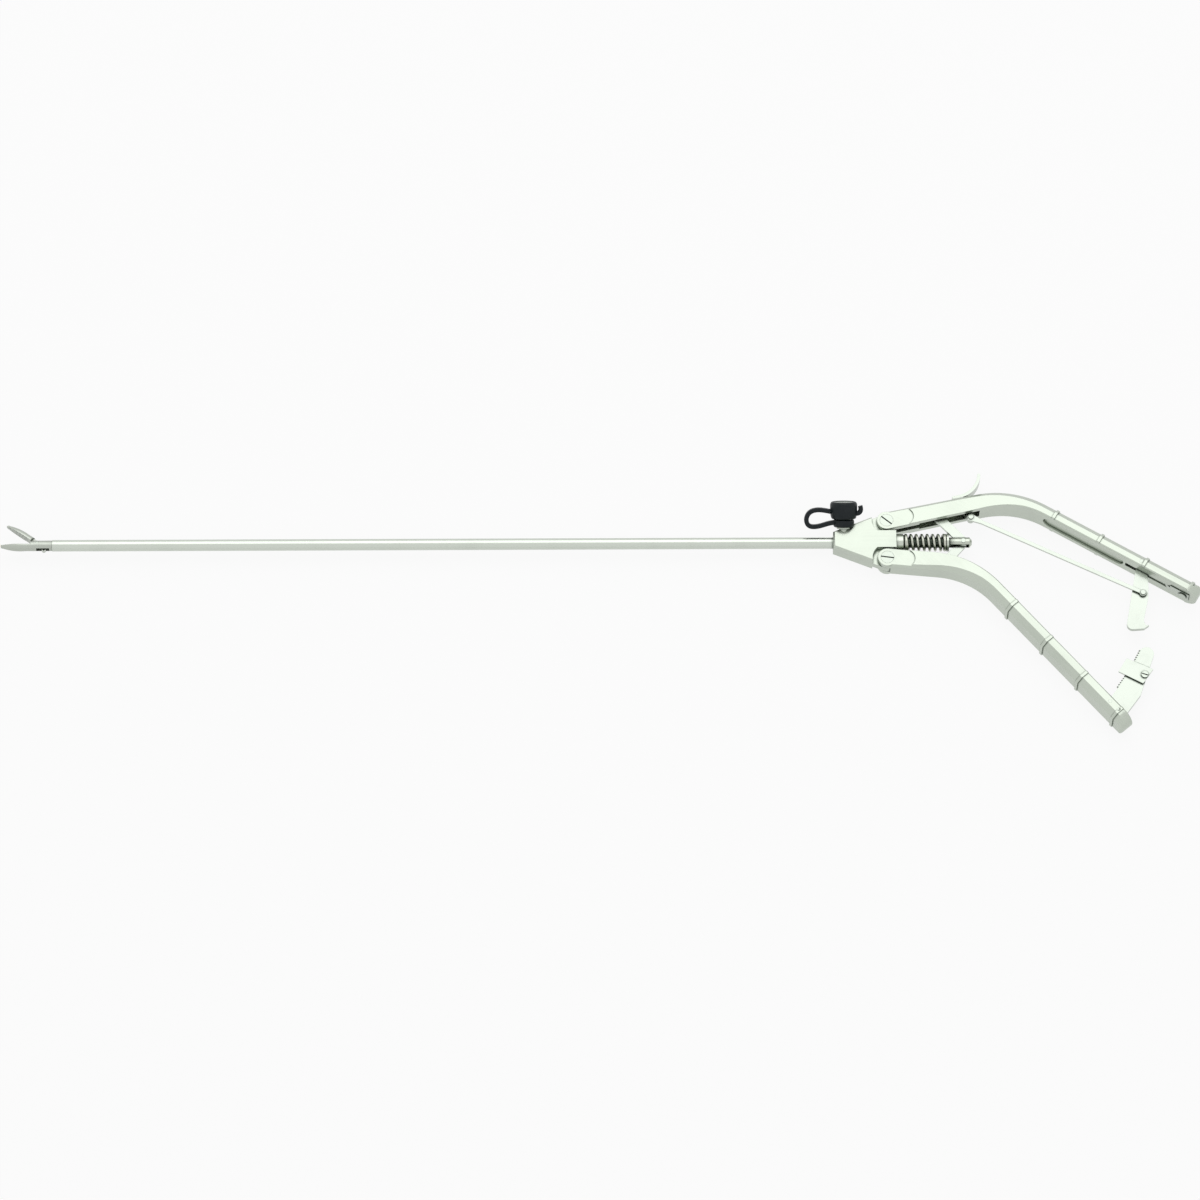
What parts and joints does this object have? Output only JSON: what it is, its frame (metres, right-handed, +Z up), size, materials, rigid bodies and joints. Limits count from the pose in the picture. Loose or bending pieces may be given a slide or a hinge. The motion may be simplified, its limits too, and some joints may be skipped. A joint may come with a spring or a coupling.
{
  "type": "laparoscopic needle holder",
  "caption": "Long thin steel needle holder for keyhole surgery: two bent sprung handles, a ratchet with thumb release, and a slim shaft with one opening jaw.",
  "frame": {"origin": "on the shaft's axis, at the front face of the handle housing", "axes": "+X from the jaws to the handles, +Y towards the upper handle, +Z up, across the thickness of the handles"},
  "size_m": [0.5205, 0.1222, 0.0207],
  "materials": {
    "satin_steel": "satin",
    "turned_steel": "satin, turned",
    "jaw_steel": "fine satin with a grooved grip",
    "spring_steel": "dark drawn wire",
    "seal_rubber": "matt",
    "cap_rubber": "semi-matt moulded"
  },
  "bodies": {
    "instrument_body": {"housing_block": "satin_steel", "shaft_tube": "satin_steel", "gland_nut": "turned_steel", "rod_seal_ring": "seal_rubber", "fixed_jaw": "jaw_steel", "jaw_pivot_pin": "satin_steel", "upper_pivot_screw": "satin_steel", "lower_pivot_screw": "satin_steel", "flush_port": "turned_steel", "cap_strap": "cap_rubber", "return_spring": "spring_steel"},
    "upper_grip": {"upper_handle": "satin_steel", "upper_link_pin": "satin_steel", "lever_pin": "satin_steel", "pawl_pin": "satin_steel", "pawl_spring": "spring_steel", "pawl_spring_screw": "satin_steel"},
    "lower_grip": {"lower_handle": "satin_steel", "lower_link_pin": "satin_steel", "ratchet_rack": "satin_steel", "rack_rivets": "satin_steel", "rack_guide": "satin_steel", "guide_screw": "satin_steel"},
    "pull_rod_group": {"pull_rod": "satin_steel", "rod_end": "satin_steel", "rod_cross_pin": "satin_steel", "jaw_drive_pin": "satin_steel"},
    "jaw": {"moving_jaw": "jaw_steel"},
    "upper_link_arm": {"upper_link": "satin_steel"},
    "lower_link_arm": {"lower_link": "satin_steel"},
    "spring_seat": {"spring_washer": "satin_steel"},
    "thumb_lever": {"release_lever": "satin_steel", "lever_rivet": "satin_steel"},
    "release_strip": {"release_rod": "satin_steel"},
    "pawl_arm": {"pawl_plate": "satin_steel", "pawl_rivet": "satin_steel"},
    "port_closure": {"port_cap": "cap_rubber"}
  },
  "joints": [
    {"name": "handle_squeeze", "type": "hinge", "parent": "instrument_body", "child": "upper_grip", "pos_m": [0.0233, 0.0089, 0], "axis": [0, 0, -1], "range_deg": [0, 7], "stiffness_Nm_per_rad": 1, "springref_deg": -17.19, "deforming": ["return_spring"]},
    {"name": "lower_squeeze", "type": "hinge", "parent": "instrument_body", "child": "lower_grip", "pos_m": [0.0233, -0.0089, 0], "axis": [0, 0, 1], "range_deg": [0, 7.1]},
    {"name": "rod_pull", "type": "slide", "parent": "instrument_body", "child": "pull_rod_group", "axis": [1, 0, 0], "range_m": [0, 0.0028]},
    {"name": "jaw_close", "type": "hinge", "parent": "instrument_body", "child": "jaw", "pos_m": [-0.346, 0.0007, 0], "axis": [0, 0, 1], "range_deg": [0, 34.2]},
    {"name": "upper_link_turn", "type": "hinge", "parent": "pull_rod_group", "child": "upper_link_arm", "pos_m": [0.0566, 0, 0], "axis": [0, 0, 1], "range_deg": [0, 13]},
    {"name": "lower_link_turn", "type": "hinge", "parent": "pull_rod_group", "child": "lower_link_arm", "pos_m": [0.0566, 0, 0], "axis": [0, 0, -1], "range_deg": [0, 16]},
    {"name": "washer_push", "type": "slide", "parent": "instrument_body", "child": "spring_seat", "axis": [-1, 0, 0], "range_m": [0, 0.00047]},
    {"name": "thumb_release", "type": "hinge", "parent": "upper_grip", "child": "thumb_lever", "pos_m": [0.05803, 0.0167, 0], "axis": [0, 0, -1], "range_deg": [-0.5, 12], "stiffness_Nm_per_rad": 0.02},
    {"name": "release_pull", "type": "hinge", "parent": "thumb_lever", "child": "release_strip", "pos_m": [0.06019, 0.01134, 0], "axis": [0, 0, 1], "range_deg": [-0.6, 12.4]},
    {"name": "pawl_lift", "type": "hinge", "parent": "upper_grip", "child": "pawl_arm", "pos_m": [0.13329, -0.01218, 0], "axis": [0, 0, -1], "range_deg": [-0.2, 4]},
    {"name": "cap_pull", "type": "slide", "parent": "instrument_body", "child": "port_closure", "axis": [0, 0.848, 0.5299], "range_m": [0, 0.007]}
  ],
  "couplings": [
    {"joint": "lower_squeeze", "follows": "handle_squeeze", "ratio": 1},
    {"joint": "rod_pull", "follows": "handle_squeeze", "m_per_rad": 0.02264},
    {"joint": "jaw_close", "follows": "handle_squeeze", "ratio": 4.8571},
    {"joint": "upper_link_turn", "follows": "handle_squeeze", "ratio": 1.832},
    {"joint": "lower_link_turn", "follows": "handle_squeeze", "ratio": 2.264},
    {"joint": "washer_push", "follows": "handle_squeeze", "m_per_rad": 0.00368},
    {"joint": "release_pull", "follows": "thumb_release", "ratio": 1.0245},
    {"joint": "pawl_lift", "follows": "thumb_release", "ratio": 0.324}
  ]
}
